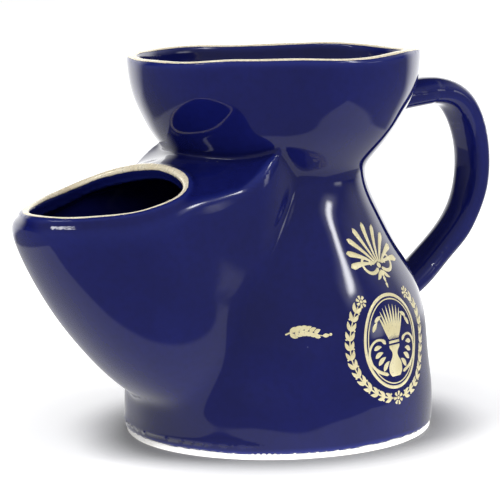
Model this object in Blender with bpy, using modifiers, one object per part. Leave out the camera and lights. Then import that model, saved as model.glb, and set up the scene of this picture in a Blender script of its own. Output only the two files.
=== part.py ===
"""Shaving mug: a flared soap bowl on a water vessel, with a brush spout and a handle.

Frame: metres, +Z up. The vessel's axis is the Z axis and the foot stands on Z = 0.
The handle is at +X, the brush spout at -X, and the gilt transfers face -Y.
Lengths below are written in millimetres and turned into metres by MM. Heights are measured
from the datum, a level STAND above the table, and every object hangs under an empty there.
"""
import math

import bmesh
import bpy
from mathutils import Matrix, Vector

MM = 0.001
GAP = 0.3                # clearance between pieces that touch
SEGMENTS = 48            # steps round a turned piece
CREASE = math.radians(35)   # sharper edges than this keep a hard shade

# Driving dimensions
STAND = 1.7              # table to the datum
HEIGHT = 110.0           # datum to the gilded rim
REACH = 88.0             # axis to the spout's nose
HANDLE_REACH = 87.3      # axis to the handle's back
WALL = 3.4               # clay wall
FOOT_HEIGHT = 1.5
FOOT_TOP = FOOT_HEIGHT - STAND
FOOT_OUTER, FOOT_INNER = 45.9, 41.0
FLOOR_LOW, FLOOR_HIGH = 4.6, 8.4
NECK_TOP = 74.3          # top of the lower body, where the bowl is luted on
SPIGOT_DEEP = 2.4        # depth of the bowl's spigot in the neck
SPIGOT_RADIUS = 25.6
NECK_BORE = 23.9
BOWL_FLOOR_LOW, BOWL_FLOOR_HIGH = 80.6, 84.2
GILT = 0.4               # thickness of a gilded band or transfer
DRAIN_RADIUS = 2.2
DRAIN_CIRCLE = 13.0
DRAIN_COUNT = 6

# Outer profile of the vessel, as (radius, height) stations
BODY_STATIONS = [(46.2, FOOT_TOP + GAP), (45.2, 17.5), (44.2, 31.0), (40.9, 43.1),
                 (35.9, 52.7), (30.5, 63.8), (27.7, 70.9), (27.3, NECK_TOP)]
BOWL_STATIONS = [(27.4, NECK_TOP + GAP), (29.9, 79.3), (34.2, 85.0), (38.4, 91.7),
                 (41.3, 97.8), (42.7, 104.5), (43.0, HEIGHT - GILT - GAP)]

# Spout stations from keel to shoulder: height at the nose, reach of the nose,
# centre of the nose's curve, half-width, and how far the station tips with the lip
SPOUT_STATIONS = [(10.5, 44.5, 30.0, 17.0, 0.0), (19.0, 56.2, 32.0, 20.8, 0.0),
                  (31.0, 67.9, 37.5, 24.8, 0.1), (44.0, 77.3, 45.0, 26.3, 0.35),
                  (55.5, 84.3, 52.0, 27.4, 0.7), (64.2, REACH, 56.5, 28.2, 1.0)]
SPOUT_STEPS = 2          # rings between two stations
SPOUT_ROOT = -12.0       # the flanks end here, inside the vessel
ROOT_HALF_WIDTH = 25.0
RIDGE_SLOPE, RIDGE_CURL = 0.154, 2.55e-5   # rise of the shoulder towards the bowl

# Egg-shaped lip, in a plane that dips towards the nose
LIP_CENTRE = Vector((-58.6, 0.0, 74.6))
LIP_DIP = math.radians(13.6)
LIP_FRONT, LIP_BACK = 28.0, 18.8
LIP_HALF_WIDTH, LIP_EGG = 25.8, 2.7
LIP_SADDLE = 1.6
LIP_WIDTH = 3.1          # width of the lip's top

# Window in the vessel's wall, where water passes to the spout
WINDOW_CENTRE, WINDOW_HALF_HEIGHT, WINDOW_HALF_WIDTH = 40.5, 25.0, 20.0

# Handle: its section, and its centre line in the XZ plane
HANDLE_DEEP, HANDLE_WIDE = 8.6, 13.2
HANDLE_LINE = [(35.0, 90.6), (47.0, 93.0), (57.0, 94.0), (66.0, 94.1), (74.4, 91.2),
               (80.0, 84.0), (HANDLE_REACH - HANDLE_DEEP / 2, 73.0), (81.2, 61.0), (75.8, 51.8),
               (67.6, 44.4), (57.6, 37.2), (48.8, 32.6), (40.0, 30.0)]

# Gilt transfers: turned from -Y towards +X
TRANSFER_TURN = math.radians(10.0)
TRANSFER_OUT, TRANSFER_DEPTH = 45.0, 30.0   # where its cutting prism stands off the axis
WREATH_HEIGHT, WREATH_RADIUS, WREATH_BAND = 28.5, 17.8, 3.2
CREST_HEIGHT, CREST_TURN = 54.8, math.radians(12.5)
SPRIG_HEIGHT, SPRIG_TURN = 34.0, math.radians(-29.5)

COBALT = (0.008, 0.012, 0.115)
GOLD = (0.83, 0.66, 0.33)
CLAY = (0.80, 0.78, 0.74)


def collection(name):
    made = bpy.data.collections.new(name)
    bpy.context.scene.collection.children.link(made)
    return made


def material(name, colour, roughness, metallic):
    made = bpy.data.materials.new(name)
    made.use_nodes = True
    shader = made.node_tree.nodes["Principled BSDF"]
    shader.inputs["Base Color"].default_value = (*colour, 1.0)
    shader.inputs["Roughness"].default_value = roughness
    shader.inputs["Metallic"].default_value = metallic
    return made


def shade(mesh):
    """Smooth shading, with creases kept sharp."""
    mesh.shade_smooth()
    mesh.set_sharp_from_angle(angle=CREASE)


def datum():
    """The empty that carries every object, STAND above the table."""
    made = bpy.data.objects.new("datum", None)
    made.location.z = STAND * MM
    bpy.context.scene.collection.objects.link(made)


def place(name, data, home, finish=None):
    """Link one object under the datum. A cutter stays out of renders."""
    made = bpy.data.objects.new(name, data)
    made.parent = bpy.data.objects["datum"]
    home.objects.link(made)
    if finish:
        data.materials.append(finish)
    if home.name == "cutters":
        made.hide_render = True
        made.display_type = "WIRE"
    return made


def smooth(stations, steps):
    """Points on a Catmull-Rom curve through the stations, steps to each span."""
    rows = [Vector(s) for s in stations]
    rows = [rows[0] * 2 - rows[1]] + rows + [rows[-1] * 2 - rows[-2]]
    points = []
    for before, start, end, after in zip(rows, rows[1:], rows[2:], rows[3:]):
        for i in range(steps):
            t = i / steps
            points.append(0.5 * (2 * start + (end - before) * t
                                 + (2 * before - 5 * start + 4 * end - after) * t * t
                                 + (3 * start - before - 3 * end + after) * t ** 3))
    points.append(rows[-2])
    return points


def inset(profile, distance):
    """The profile's points moved square to it, towards the axis."""
    moved = []
    for i, point in enumerate(profile):
        along = profile[min(i + 1, len(profile) - 1)] - profile[max(i - 1, 0)]
        normal = Vector((-along.y, along.x)).normalized()
        moved.append(point + normal * distance)
    return moved


def turned(name, profile, home, finish=None, closed=True):
    """Solid of revolution. The profile runs down its outer side, top to bottom."""
    mesh = bpy.data.meshes.new(name)
    corners = [(r * MM, 0.0, z * MM) for r, z in profile]
    edges = [(i, i + 1) for i in range(len(corners) - 1)]
    if closed:
        edges.append((len(corners) - 1, 0))
    mesh.from_pydata(corners, edges, [])
    made = place(name, mesh, home, finish)
    screw = made.modifiers.new("turn", "SCREW")
    screw.steps = screw.render_steps = SEGMENTS
    screw.use_merge_vertices = True
    screw.merge_threshold = 1e-6
    screw.use_normal_calculate = False
    return made


def loft(name, rings, home, finish=None, joined_ends=False):
    """Skin over rings of equal count, closed by fans or by joining the last to the first."""
    build = bmesh.new()
    rows = [[build.verts.new(p * MM) for p in ring] for ring in rings]
    pairs = list(zip(rows, rows[1:]))
    if joined_ends:
        pairs.append((rows[-1], rows[0]))
    for low, high in pairs:
        for i in range(len(low)):
            j = (i + 1) % len(low)
            build.faces.new((low[i], low[j], high[j], high[i]))
    if not joined_ends:
        for row in (rows[0], rows[-1]):
            middle = build.verts.new(sum((v.co for v in row), Vector()) / len(row))
            for i in range(len(row)):
                build.faces.new((row[i], row[(i + 1) % len(row)], middle))
    bmesh.ops.recalc_face_normals(build, faces=build.faces)
    mesh = bpy.data.meshes.new(name)
    build.to_mesh(mesh)
    build.free()
    shade(mesh)
    return place(name, mesh, home, finish)


def cut(target, cutter, operation="DIFFERENCE"):
    step = target.modifiers.new(cutter.name, "BOOLEAN")
    step.operation = operation
    step.solver = "EXACT"
    step.object = cutter


def curve_to_mesh(curve, home):
    """Replace a curve by the mesh that it evaluates to, with its caps welded."""
    bpy.context.view_layer.update()
    shape = curve.evaluated_get(bpy.context.evaluated_depsgraph_get())
    mesh = bpy.data.meshes.new_from_object(shape)
    weld = bmesh.new()
    weld.from_mesh(mesh)
    bmesh.ops.remove_doubles(weld, verts=weld.verts, dist=1e-6)
    bmesh.ops.recalc_face_normals(weld, faces=weld.faces)
    weld.to_mesh(mesh)
    weld.free()
    shade(mesh)
    name, pose = curve.name, curve.matrix_world.copy()
    bpy.data.objects.remove(curve)
    made = bpy.data.objects.new(name, mesh)
    made.matrix_world = pose
    home.objects.link(made)
    return made


def body_profile():
    return smooth(BODY_STATIONS, 2)


def bowl_profile():
    return smooth(BOWL_STATIONS, 2)


def clearance_cutter(home):
    """The vessel's whole outside, grown by the gap, for pieces luted onto it."""
    side = inset(body_profile() + bowl_profile(), -GAP)
    profile = [Vector((0.0, HEIGHT + 5.0)), Vector((side[-1].x, HEIGHT + 5.0))]
    profile += side[::-1] + [Vector((side[0].x, -5.0)), Vector((0.0, -5.0))]
    return turned("vessel_clearance", profile, home, closed=False)


def foot_ring(home, finish):
    chamfer = 0.3
    profile = [(FOOT_OUTER, FOOT_TOP), (FOOT_OUTER, chamfer - STAND), (FOOT_OUTER - chamfer, -STAND),
               (FOOT_INNER + chamfer, -STAND), (FOOT_INNER, chamfer - STAND), (FOOT_INNER, FOOT_TOP)]
    turned("foot_ring", profile, home, finish)


def lower_body(home, finish, window):
    """Cast vessel: raised floor, flared shoulder and a neck rebated for the bowl."""
    outside = body_profile()
    inside = [p for p in inset(outside, WALL) if FLOOR_HIGH + 4.0 < p.y < NECK_TOP - 8.0]
    rebate = NECK_TOP - SPIGOT_DEEP - GAP
    profile = [Vector((0.0, FLOOR_HIGH)), Vector((36.0, FLOOR_HIGH)),
               Vector((40.6, FLOOR_HIGH + 1.4))]
    profile += inside
    profile += [Vector((NECK_BORE, rebate)), Vector((SPIGOT_RADIUS + GAP, rebate)),
                Vector((SPIGOT_RADIUS + GAP, NECK_TOP))]
    profile += outside[::-1]
    profile += [Vector((FOOT_INNER, FOOT_TOP + GAP)), Vector((FOOT_INNER - 1.5, FLOOR_LOW)),
                Vector((0.0, FLOOR_LOW))]
    made = turned("lower_body", profile, home, finish, closed=False)
    cut(made, window)


def soap_bowl(home, finish, drains):
    """Flared bowl with a pierced floor, and a spigot that sits in the neck."""
    outside = bowl_profile()
    inside = [p for p in inset(outside, WALL) if p.y > BOWL_FLOOR_HIGH + 2.5]
    spigot = NECK_TOP - SPIGOT_DEEP
    rim = outside[-1]
    profile = [Vector((0.0, BOWL_FLOOR_HIGH)), Vector((24.0, BOWL_FLOOR_HIGH)),
               Vector((29.0, BOWL_FLOOR_HIGH + 1.2))]
    profile += inside[:-1]
    profile += [Vector((rim.x - WALL, rim.y - 0.9)), Vector((rim.x - WALL + 1.0, rim.y)),
                Vector((rim.x - 1.0, rim.y)), Vector((rim.x, rim.y - 0.9))]
    profile += outside[-2::-1]
    profile += [Vector((SPIGOT_RADIUS, NECK_TOP + GAP)), Vector((SPIGOT_RADIUS, spigot)),
                Vector((NECK_BORE, spigot)), Vector((NECK_BORE, BOWL_FLOOR_LOW - 1.5)),
                Vector((NECK_BORE - 2.5, BOWL_FLOOR_LOW)), Vector((0.0, BOWL_FLOOR_LOW))]
    made = turned("soap_bowl", profile, home, finish, closed=False)
    for drain in drains:
        cut(made, drain)


def cylinder(name, radius, depth, centre, axis, home, sides=16):
    build = bmesh.new()
    turn = Vector((0, 0, 1)).rotation_difference(axis).to_matrix().to_4x4()
    bmesh.ops.create_cone(build, cap_ends=True, segments=sides, radius1=radius * MM,
                          radius2=radius * MM, depth=depth * MM,
                          matrix=Matrix.Translation(Vector(centre) * MM) @ turn)
    mesh = bpy.data.meshes.new(name)
    build.to_mesh(mesh)
    build.free()
    return place(name, mesh, home)


def drain_cutters(home):
    """One central drain and a circle of drains round it."""
    middle = (BOWL_FLOOR_LOW + BOWL_FLOOR_HIGH) / 2
    centres = [(0.0, 0.0, middle)]
    for i in range(DRAIN_COUNT):
        angle = math.tau * i / DRAIN_COUNT
        centres.append((DRAIN_CIRCLE * math.cos(angle), DRAIN_CIRCLE * math.sin(angle), middle))
    return [cylinder(f"drain_{i}", DRAIN_RADIUS, 10.0, c, Vector((0, 0, 1)), home)
            for i, c in enumerate(centres)]


def window_cutter(home):
    """Oval passage through the vessel's wall into the spout."""
    made = cylinder("window", WINDOW_HALF_WIDTH, 40.0, (-36.0, 0.0, WINDOW_CENTRE),
                    Vector((1, 0, 0)), home, sides=40)
    centre = WINDOW_CENTRE * MM
    stretch = WINDOW_HALF_HEIGHT / WINDOW_HALF_WIDTH
    for vertex in made.data.vertices:
        vertex.co.z = centre + (vertex.co.z - centre) * stretch
    return made


NOSE_STEPS, FLANK_STEPS, ROOT_STEPS = 24, 8, 8


def spout_ring(station, shrink=0.0, drop=0.0):
    """U-shaped ring: a half-ellipse nose, two flanks and a closed root in the vessel."""
    height, reach, centre, half_width, tip = station
    nose = reach - centre - shrink
    wide = half_width - shrink
    root_wide = min(half_width, ROOT_HALF_WIDTH) - shrink
    plan = []
    for i in range(NOSE_STEPS):
        angle = math.pi * (i / NOSE_STEPS - 0.5)
        plan.append((-centre - nose * math.cos(angle), wide * math.sin(angle)))
    for i in range(FLANK_STEPS):
        t = i / FLANK_STEPS
        plan.append((-centre + (SPOUT_ROOT + centre) * t, wide + (root_wide - wide) * t * t))
    for i in range(ROOT_STEPS):
        plan.append((SPOUT_ROOT, root_wide * (1 - 2 * i / ROOT_STEPS)))
    for i in range(FLANK_STEPS):
        t = 1 - i / FLANK_STEPS
        plan.append((-centre + (SPOUT_ROOT + centre) * t, -wide - (root_wide - wide) * t * t))
    ring = []
    for x, y in plan:
        run = x + reach
        rise = tip * (RIDGE_SLOPE * run + RIDGE_CURL * run ** 3)
        ring.append(Vector((x, y, height + rise - drop)))
    return ring


def lip_angles():
    """One angle round the lip for each point of a spout ring."""
    quarter = math.pi / 2
    nose = [math.pi * (i / NOSE_STEPS - 0.5) for i in range(NOSE_STEPS)]
    flank = [quarter + quarter / 2 * i / FLANK_STEPS for i in range(FLANK_STEPS)]
    root = [quarter * 1.5 + quarter * i / ROOT_STEPS for i in range(ROOT_STEPS)]
    back = [quarter * 2.5 + quarter / 2 * i / FLANK_STEPS for i in range(FLANK_STEPS)]
    return nose + flank + root + back


def lip_ring(shrink, lift):
    """The lip's egg shape, shrunk inwards and lifted square to its plane."""
    forward = Vector((-math.cos(LIP_DIP), 0.0, -math.sin(LIP_DIP)))
    upward = Vector((-math.sin(LIP_DIP), 0.0, math.cos(LIP_DIP)))
    ring = []
    for angle in lip_angles():
        along = (LIP_FRONT if math.cos(angle) > 0 else LIP_BACK) - shrink
        across = LIP_HALF_WIDTH - LIP_EGG * math.cos(angle) - shrink
        ring.append(LIP_CENTRE + forward * (along * math.cos(angle))
                    + Vector((0.0, across * math.sin(angle), 0.0))
                    + upward * (lift + LIP_SADDLE * math.cos(2 * angle)))
    return ring


def spout_levels():
    return [tuple(row) for row in smooth(SPOUT_STATIONS, SPOUT_STEPS)]


def spout_cavity(home):
    """The hollow of the spout: bottle-shaped, narrower at the mouth than inside."""
    levels = [s for s in spout_levels() if s[0] > 15.0]
    rings = [spout_ring(s, WALL) for s in levels[:-1]]
    rings.append(spout_ring(levels[-1], WALL, drop=WALL))
    rings.append(lip_ring(LIP_WIDTH, -WALL - 1.5))
    rings.append(lip_ring(LIP_WIDTH, 4.0))
    return loft("spout_cavity", rings, home)


def brush_spout(home, finish, cavity, clearance):
    """Hull that swells from the keel, rounds over at its shoulder and closes in to the lip."""
    levels = spout_levels()
    rings = [spout_ring(s) for s in levels]
    lip_low = lip_ring(0.4, -GILT - GAP - 1.2)
    shoulder = [low.lerp(high, 0.45) + Vector((0, 0, 0.9)) for low, high in zip(rings[-1], lip_low)]
    rings += [shoulder, lip_low, lip_ring(0.9, -GILT - GAP), lip_ring(LIP_WIDTH + 2.0, -GILT - GAP)]
    made = loft("brush_spout", rings, home, finish)
    cut(made, cavity)
    cut(made, clearance)


def handle(home, finish, clearance):
    """Ear-shaped handle: an oval section swept along its centre line."""
    section = bpy.data.curves.new("handle_section", "CURVE")
    rim = section.splines.new("POLY")
    sides = 14
    rim.points.add(sides - 1)
    rim.use_cyclic_u = True
    for i, point in enumerate(rim.points):
        angle = math.tau * i / sides
        point.co = (HANDLE_WIDE / 2 * MM * math.cos(angle),
                    HANDLE_DEEP / 2 * MM * math.sin(angle), 0.0, 1.0)
    guide = place("handle_section", section, clearance.users_collection[0])

    path = bpy.data.curves.new("handle", "CURVE")
    path.dimensions = "3D"
    path.resolution_u = 1
    path.render_resolution_u = 0
    path.bevel_mode = "OBJECT"
    path.bevel_object = guide
    path.use_fill_caps = True
    path.twist_mode = "MINIMUM"
    line = path.splines.new("POLY")
    route = smooth(HANDLE_LINE, 2)
    line.points.add(len(route) - 1)
    for point, (x, z) in zip(line.points, route):
        point.co = (x * MM, 0.0, z * MM, 1.0)
    curve = place("handle", path, home)
    made = curve_to_mesh(curve, home)
    made.data.materials.append(finish)
    bpy.data.objects.remove(guide)
    cut(made, clearance)


def bowl_rim_gilding(home, finish):
    """Gold line that caps the bowl's rim."""
    outer = BOWL_STATIONS[-1][0]
    inner = outer - WALL
    low = HEIGHT - GILT - GAP - 0.9
    profile = [(outer - 0.6, HEIGHT), (outer + GAP + GILT, HEIGHT - 0.7), (outer + GAP + GILT, low),
               (outer + GAP, low), (outer + GAP, HEIGHT - 1.0), (outer - 0.8, HEIGHT - GILT),
               (inner + 0.8, HEIGHT - GILT), (inner - GAP, HEIGHT - 1.0), (inner - GAP, low),
               (inner - GAP - GILT, low), (inner - GAP - GILT, HEIGHT - 0.7), (inner + 0.6, HEIGHT)]
    turned("bowl_rim_gilding", profile, home, finish)


def spout_lip_gilding(home, finish):
    """Gold line on top of the spout's lip."""
    rings = [lip_ring(LIP_WIDTH - 0.5, -GILT), lip_ring(0.6, -GILT),
             lip_ring(0.6, 0.0), lip_ring(LIP_WIDTH - 0.5, 0.0)]
    loft("spout_lip_gilding", rings, home, finish, joined_ends=True)


def gilt_skin(home):
    """Thin shell just clear of the vessel's glaze, from which transfers are cut."""
    side = [p for p in body_profile() if 4.0 < p.y < 68.0]
    profile = inset(side, -GAP - GILT)[::-1] + inset(side, -GAP)
    return turned("gilt_skin", profile, home)


def transfer(name, turn, height, outline, holes, home, finish, skin):
    """Piece of gilt skin inside an outline that is drawn square to the vessel's side."""
    shape = bpy.data.curves.new(name, "CURVE")
    shape.dimensions = "2D"
    shape.fill_mode = "BOTH"
    shape.extrude = TRANSFER_DEPTH / 2 * MM
    for points in [outline] + holes:
        spline = shape.splines.new("POLY")
        spline.points.add(len(points) - 1)
        spline.use_cyclic_u = True
        for point, (x, y) in zip(spline.points, points):
            point.co = (x * MM, y * MM, 0.0, 1.0)
    curve = place(name, shape, home)
    curve.location = (math.sin(turn) * TRANSFER_OUT * MM, -math.cos(turn) * TRANSFER_OUT * MM,
                      height * MM)
    curve.rotation_euler = (math.pi / 2, 0.0, turn)
    made = curve_to_mesh(curve, home)
    made.data.materials.append(finish)
    cut(made, skin, "INTERSECT")


def oval(half_width, half_height, sides=32):
    return [(half_width * math.cos(math.tau * i / sides), half_height * math.sin(math.tau * i / sides))
            for i in range(sides)]


def crest_outline():
    """Three rounded leaves on a short bar."""
    points = [(-10.5, -5.5), (10.5, -5.5)]
    for i in range(25):
        angle = math.pi * i / 24
        swell = 9.5 + 1.5 * math.cos(6 * angle)
        points.append((swell * 1.1 * math.cos(angle), -4.5 + swell * math.sin(angle)))
    return points


def transfers(home, finish, cutters):
    skin = gilt_skin(cutters)
    inner = WREATH_RADIUS - WREATH_BAND
    transfer("transfer_wreath", TRANSFER_TURN, WREATH_HEIGHT, oval(WREATH_RADIUS, WREATH_RADIUS),
             [oval(inner, inner)], home, finish, skin)
    transfer("transfer_medallion", TRANSFER_TURN, WREATH_HEIGHT, oval(10.0, 12.0), [],
             home, finish, skin)
    transfer("transfer_crest", CREST_TURN, CREST_HEIGHT, crest_outline(), [],
             home, finish, skin)
    transfer("transfer_sprig", SPRIG_TURN, SPRIG_HEIGHT, oval(6.0, 1.8, 16), [],
             home, finish, skin)


def main():
    for old in list(bpy.data.objects):
        bpy.data.objects.remove(old)
    datum()
    mug = collection("shaving_mug")
    cutters = collection("cutters")
    glaze = material("cobalt_glaze", COBALT, 0.08, 0.0)
    gold = material("bright_gold", GOLD, 0.25, 1.0)
    clay = material("bare_clay", CLAY, 0.75, 0.0)

    clearance = clearance_cutter(cutters)
    foot_ring(mug, clay)
    lower_body(mug, glaze, window_cutter(cutters))
    soap_bowl(mug, glaze, drain_cutters(cutters))
    brush_spout(mug, glaze, spout_cavity(cutters), clearance)
    handle(mug, glaze, clearance)
    bowl_rim_gilding(mug, gold)
    spout_lip_gilding(mug, gold)
    transfers(mug, gold, cutters)


main()
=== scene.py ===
"""Looks of the shaving mug: one continuous glazed skin over the clay members, fired gold
on the rim and the lip, gilt transfers, and the bare clay foot.

The skin is the level surface of a signed distance, so that glaze runs over every joint in a
fillet. Distances and sizes are in millimetres until a mesh is made, and heights are measured
from the datum, a level STAND above the table.
"""
import math

import bpy
import numpy as np
from mathutils import Matrix, Vector


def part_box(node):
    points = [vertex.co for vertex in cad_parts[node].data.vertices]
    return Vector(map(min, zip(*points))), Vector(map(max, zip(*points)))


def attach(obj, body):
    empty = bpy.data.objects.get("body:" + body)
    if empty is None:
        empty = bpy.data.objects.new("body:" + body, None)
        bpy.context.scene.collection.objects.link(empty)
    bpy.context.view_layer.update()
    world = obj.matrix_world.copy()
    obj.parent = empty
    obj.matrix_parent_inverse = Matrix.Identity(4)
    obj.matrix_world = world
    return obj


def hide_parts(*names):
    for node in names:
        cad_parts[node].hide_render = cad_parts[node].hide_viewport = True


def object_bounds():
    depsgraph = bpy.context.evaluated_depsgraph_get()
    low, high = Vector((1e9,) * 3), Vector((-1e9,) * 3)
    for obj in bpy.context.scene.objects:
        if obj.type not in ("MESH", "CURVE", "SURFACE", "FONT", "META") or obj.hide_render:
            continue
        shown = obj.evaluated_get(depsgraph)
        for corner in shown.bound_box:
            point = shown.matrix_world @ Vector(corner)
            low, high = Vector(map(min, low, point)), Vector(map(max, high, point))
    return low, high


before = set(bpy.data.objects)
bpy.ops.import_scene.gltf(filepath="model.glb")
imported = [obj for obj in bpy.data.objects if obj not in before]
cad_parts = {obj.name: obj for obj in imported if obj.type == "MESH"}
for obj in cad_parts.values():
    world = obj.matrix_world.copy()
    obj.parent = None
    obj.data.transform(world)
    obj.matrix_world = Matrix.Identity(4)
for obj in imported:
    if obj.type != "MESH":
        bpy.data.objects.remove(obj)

CAD_BOX = [list(corner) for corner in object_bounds()]
MM = 0.001
STAND = 1.7                      # the datum, where the glaze ends, above the table


def frame_box(node):
    """A node's lowest and highest corners in millimetres from the datum."""
    lift = Vector((0.0, 0.0, STAND))
    low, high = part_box(node)
    return low / MM - lift, high / MM - lift


# ---------------------------------------------------------------- sizes from the frame
HEIGHT = CAD_BOX[1][2] / MM - STAND
REACH = -CAD_BOX[0][0] / MM
FOOT_RADIUS = frame_box("foot_ring")[1].x
FOOT_TOP = frame_box("foot_ring")[1].z
BODY_RADIUS = frame_box("lower_body")[1].x
RIM_RADIUS = frame_box("soap_bowl")[1].x
HANDLE_REACH = frame_box("handle")[1].x

# ---------------------------------------------------------------- shape of the clay
NET_STEP, QUICK_NET_STEP = 1.12, 1.6     # cells of the net that the glazed skin is drawn with
WALL = 3.4
FLOOR_Z, BOWL_FLOOR_LOW, BOWL_FLOOR_Z = 8.4, 80.6, 84.2
RECESS_RADIUS, RECESS_TOP = 39.6, 4.6
DRAIN_RADIUS, DRAIN_CIRCLE, DRAIN_COUNT = 2.2, 13.0, 6

# (height, radius) stations of the vessel below and above the waist
BODY_STATIONS = [(-8, BODY_RADIUS - 1.5), (0, BODY_RADIUS - 0.45), (5, BODY_RADIUS - 0.22),
                 (10.5, BODY_RADIUS - 0.2), (16.5, 45.45), (23.5, 44.8), (31, 44.2),
                 (36.5, 43.2), (43.1, 40.9), (52.7, 35.9), (63.8, 30.5), (69.5, 28.2),
                 (74, 27.25), (80, 27.2), (88, 27.6)]
BOWL_STATIONS = [(64, 18.2), (70, 22.7), (74, 25.7), (79.3, 29.8), (84.4, 33.9), (88, 36.4),
                 (91.7, 38.4), (97.8, 41.2), (104.5, 42.8), (110, RIM_RADIUS + 0.2),
                 (116, RIM_RADIUS + 0.4)]
RIDGE_TURN, RIDGE_SPAN, RIDGE_RISE = math.radians(-9), math.radians(8), 0.4   # on the front
BOWL_LEAN = (0.5, -0.4)          # the bowl's rim sits this far off the body's axis

# (height, reach of the keel, centre of the nose's curve, half-width) of the spout's hull
HULL_STATIONS = [(2, 30.5, 28, 13.5), (10.5, 45.0, 30, 17.5), (19, 56.4, 32, 20.8),
                 (31, 68.0, 37.5, 24.8), (44, 77.4, 45, 26.4), (57, 84.4, 52, 27.6),
                 (70, REACH + 0.4, 56.5, 28.9), (84, REACH + 2, 58, 29.8)]
HULL_POWER = 2.2                 # superellipse power of the nose
HULL_END = -8.5                  # the hull's flanks run out here, on the neck
RUN_OUT, RUN_OUT_FROM = 5.0, -29.0    # how far they draw in by then, and where that starts
FLANK_LEAN, LEAN_DEPTH = 0.013, 9.0   # the flanks draw in under the shoulder

LIP_CENTRE_X, LIP_CENTRE_Z = -58.6, 74.6
LIP_DIP = math.radians(13.6)
LIP_FRONT, LIP_BACK, LIP_HALF_WIDTH, LIP_EGG = 28.0, 18.8, 25.8, 2.7
LIP_SADDLE, LIP_WALL, LIP_PROUD = 1.6, 2.9, 0.9
DECK_ARCH = 0.0098               # fall of the deck to each side, until it sweeps up the bowl

WINDOW_Z, WINDOW_HALF_HEIGHT, WINDOW_HALF_WIDTH = 40.5, 25.0, 20.0

# Handle's centre line (x, z), and its section's half-sizes from root to root
HANDLE_STATIONS = [(38.0, 90.8), (47.0, 93.0), (57.0, 94.0), (66.0, 94.1), (74.4, 91.2),
                   (80.0, 84.0), (HANDLE_REACH - 4.3, 73.0), (81.2, 61.0), (75.8, 51.8),
                   (67.6, 44.4), (57.6, 37.2), (48.8, 32.6), (42.5, 30.6)]
HANDLE_OUT = [(0, 4.6), (0.15, 4.5), (0.45, 4.3), (0.75, 3.8), (1, 4.0)]
HANDLE_IN = [(0, 4.6), (0.15, 4.3), (0.45, 3.9), (0.75, 3.9), (1, 4.2)]
HANDLE_WIDE = [(0, 7.2), (0.15, 6.8), (0.45, 6.5), (0.75, 6.3), (1, 7.0)]
HANDLE_POWER = 2.4

RIM_WAVES = [(2, 0.24, -90), (4, 0.32, 33), (5, 0.28, 15)]   # count, height, turn in degrees

FOOT_INNER, FOOT_OUTER = 41.0, FOOT_RADIUS - 0.5
FOOT_CORNER = 0.55               # how far the foot's lower edges are worn round

# ---------------------------------------------------------------- gilt ornament
# Ornaments are drawn square to the vessel's side; their turn is from -Y towards +X
EMBLEM_TURN, EMBLEM_HEIGHT = math.radians(9.0), 28.5
CREST_TURN, CREST_HEIGHT = math.radians(12.0), 53.0
SPRIG_TURN, SPRIG_HEIGHT = math.radians(-29.5), 34.0
WREATH_RADIUS = 16.2

# (place across the stroke's half-width, lift off the clay) of a stroke's section
GILT_COLUMNS = [(-1, -0.03), (-0.78, 0.045), (0, 0.06), (0.78, 0.045), (1, -0.03), (0, -0.12)]


# ---------------------------------------------------------------- curves and blends
def spline(positions, values):
    """Natural cubic through stations, as a function of position."""
    t, v = np.array(positions, float), np.array(values, float)
    gap = np.diff(t)
    count = len(t)
    rows, right = np.zeros((count, count)), np.zeros(count)
    rows[0, 0] = rows[-1, -1] = 1
    for i in range(1, count - 1):
        rows[i, i - 1:i + 2] = gap[i - 1], 2 * (gap[i - 1] + gap[i]), gap[i]
        right[i] = 6 * ((v[i + 1] - v[i]) / gap[i] - (v[i] - v[i - 1]) / gap[i - 1])
    bend = np.linalg.solve(rows, right)
    fine = np.linspace(t[0], t[-1], 3000)
    i = np.clip(np.searchsorted(t, fine) - 1, 0, count - 2)
    near, far, span = fine - t[i], t[i + 1] - fine, gap[i]
    table = (bend[i] * far ** 3 + bend[i + 1] * near ** 3) / (6 * span)
    table += (v[i] / span - bend[i] * span / 6) * far
    table += (v[i + 1] / span - bend[i + 1] * span / 6) * near
    return lambda at: np.interp(at, fine, table)


def smooth_min(a, b, size):
    """The lesser of two distances, with the crease filled over a width of size."""
    near = np.maximum(size - np.abs(a - b), 0.0) / size
    return np.minimum(a, b) - near ** 3 * size / 6


def smooth_max(a, b, size):
    return -smooth_min(-a, -b, size)


def ramp(value, start, end):
    """0 before start, 1 after end, smooth between."""
    t = np.clip((value - start) / (end - start), 0.0, 1.0)
    return t * t * (3 - 2 * t)


def slanted(radius):
    """Distance to a turned profile: the radial gap times the cosine of the profile's slope."""
    def distance(r, z):
        slope = radius(z + 0.25) - radius(z - 0.25)
        return (r - radius(z)) / np.sqrt(1 + 4 * slope * slope)
    return distance


body_radius = spline(*zip(*BODY_STATIONS))
body_side = slanted(body_radius)
bowl_side = slanted(spline(*zip(*BOWL_STATIONS)))
hull_z, *hull_rows = zip(*HULL_STATIONS)
hull_reach, hull_centre, hull_width = [spline(hull_z, row) for row in hull_rows]


# ---------------------------------------------------------------- distances of each member
def bowl_radius(x, y, z):
    lean = ramp(z, 76, HEIGHT)
    return np.hypot(x - BOWL_LEAN[0] * lean, y - BOWL_LEAN[1] * lean)


def rim_height(x, y):
    """The rim is finished by hand, so it waves a little."""
    turn = np.arctan2(y, x)
    return HEIGHT + sum(high * np.cos(count * (turn - math.radians(at)))
                        for count, high, at in RIM_WAVES)


def front_ridge(x, y, z):
    """Soft upright ridge where the body turns from its front to its decorated side."""
    off = (np.arctan2(x, -y) - RIDGE_TURN) / RIDGE_SPAN
    return RIDGE_RISE * np.exp(-off ** 2 / 2) * ramp(z, 30, 44) * (1 - ramp(z, 60, 72))


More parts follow.
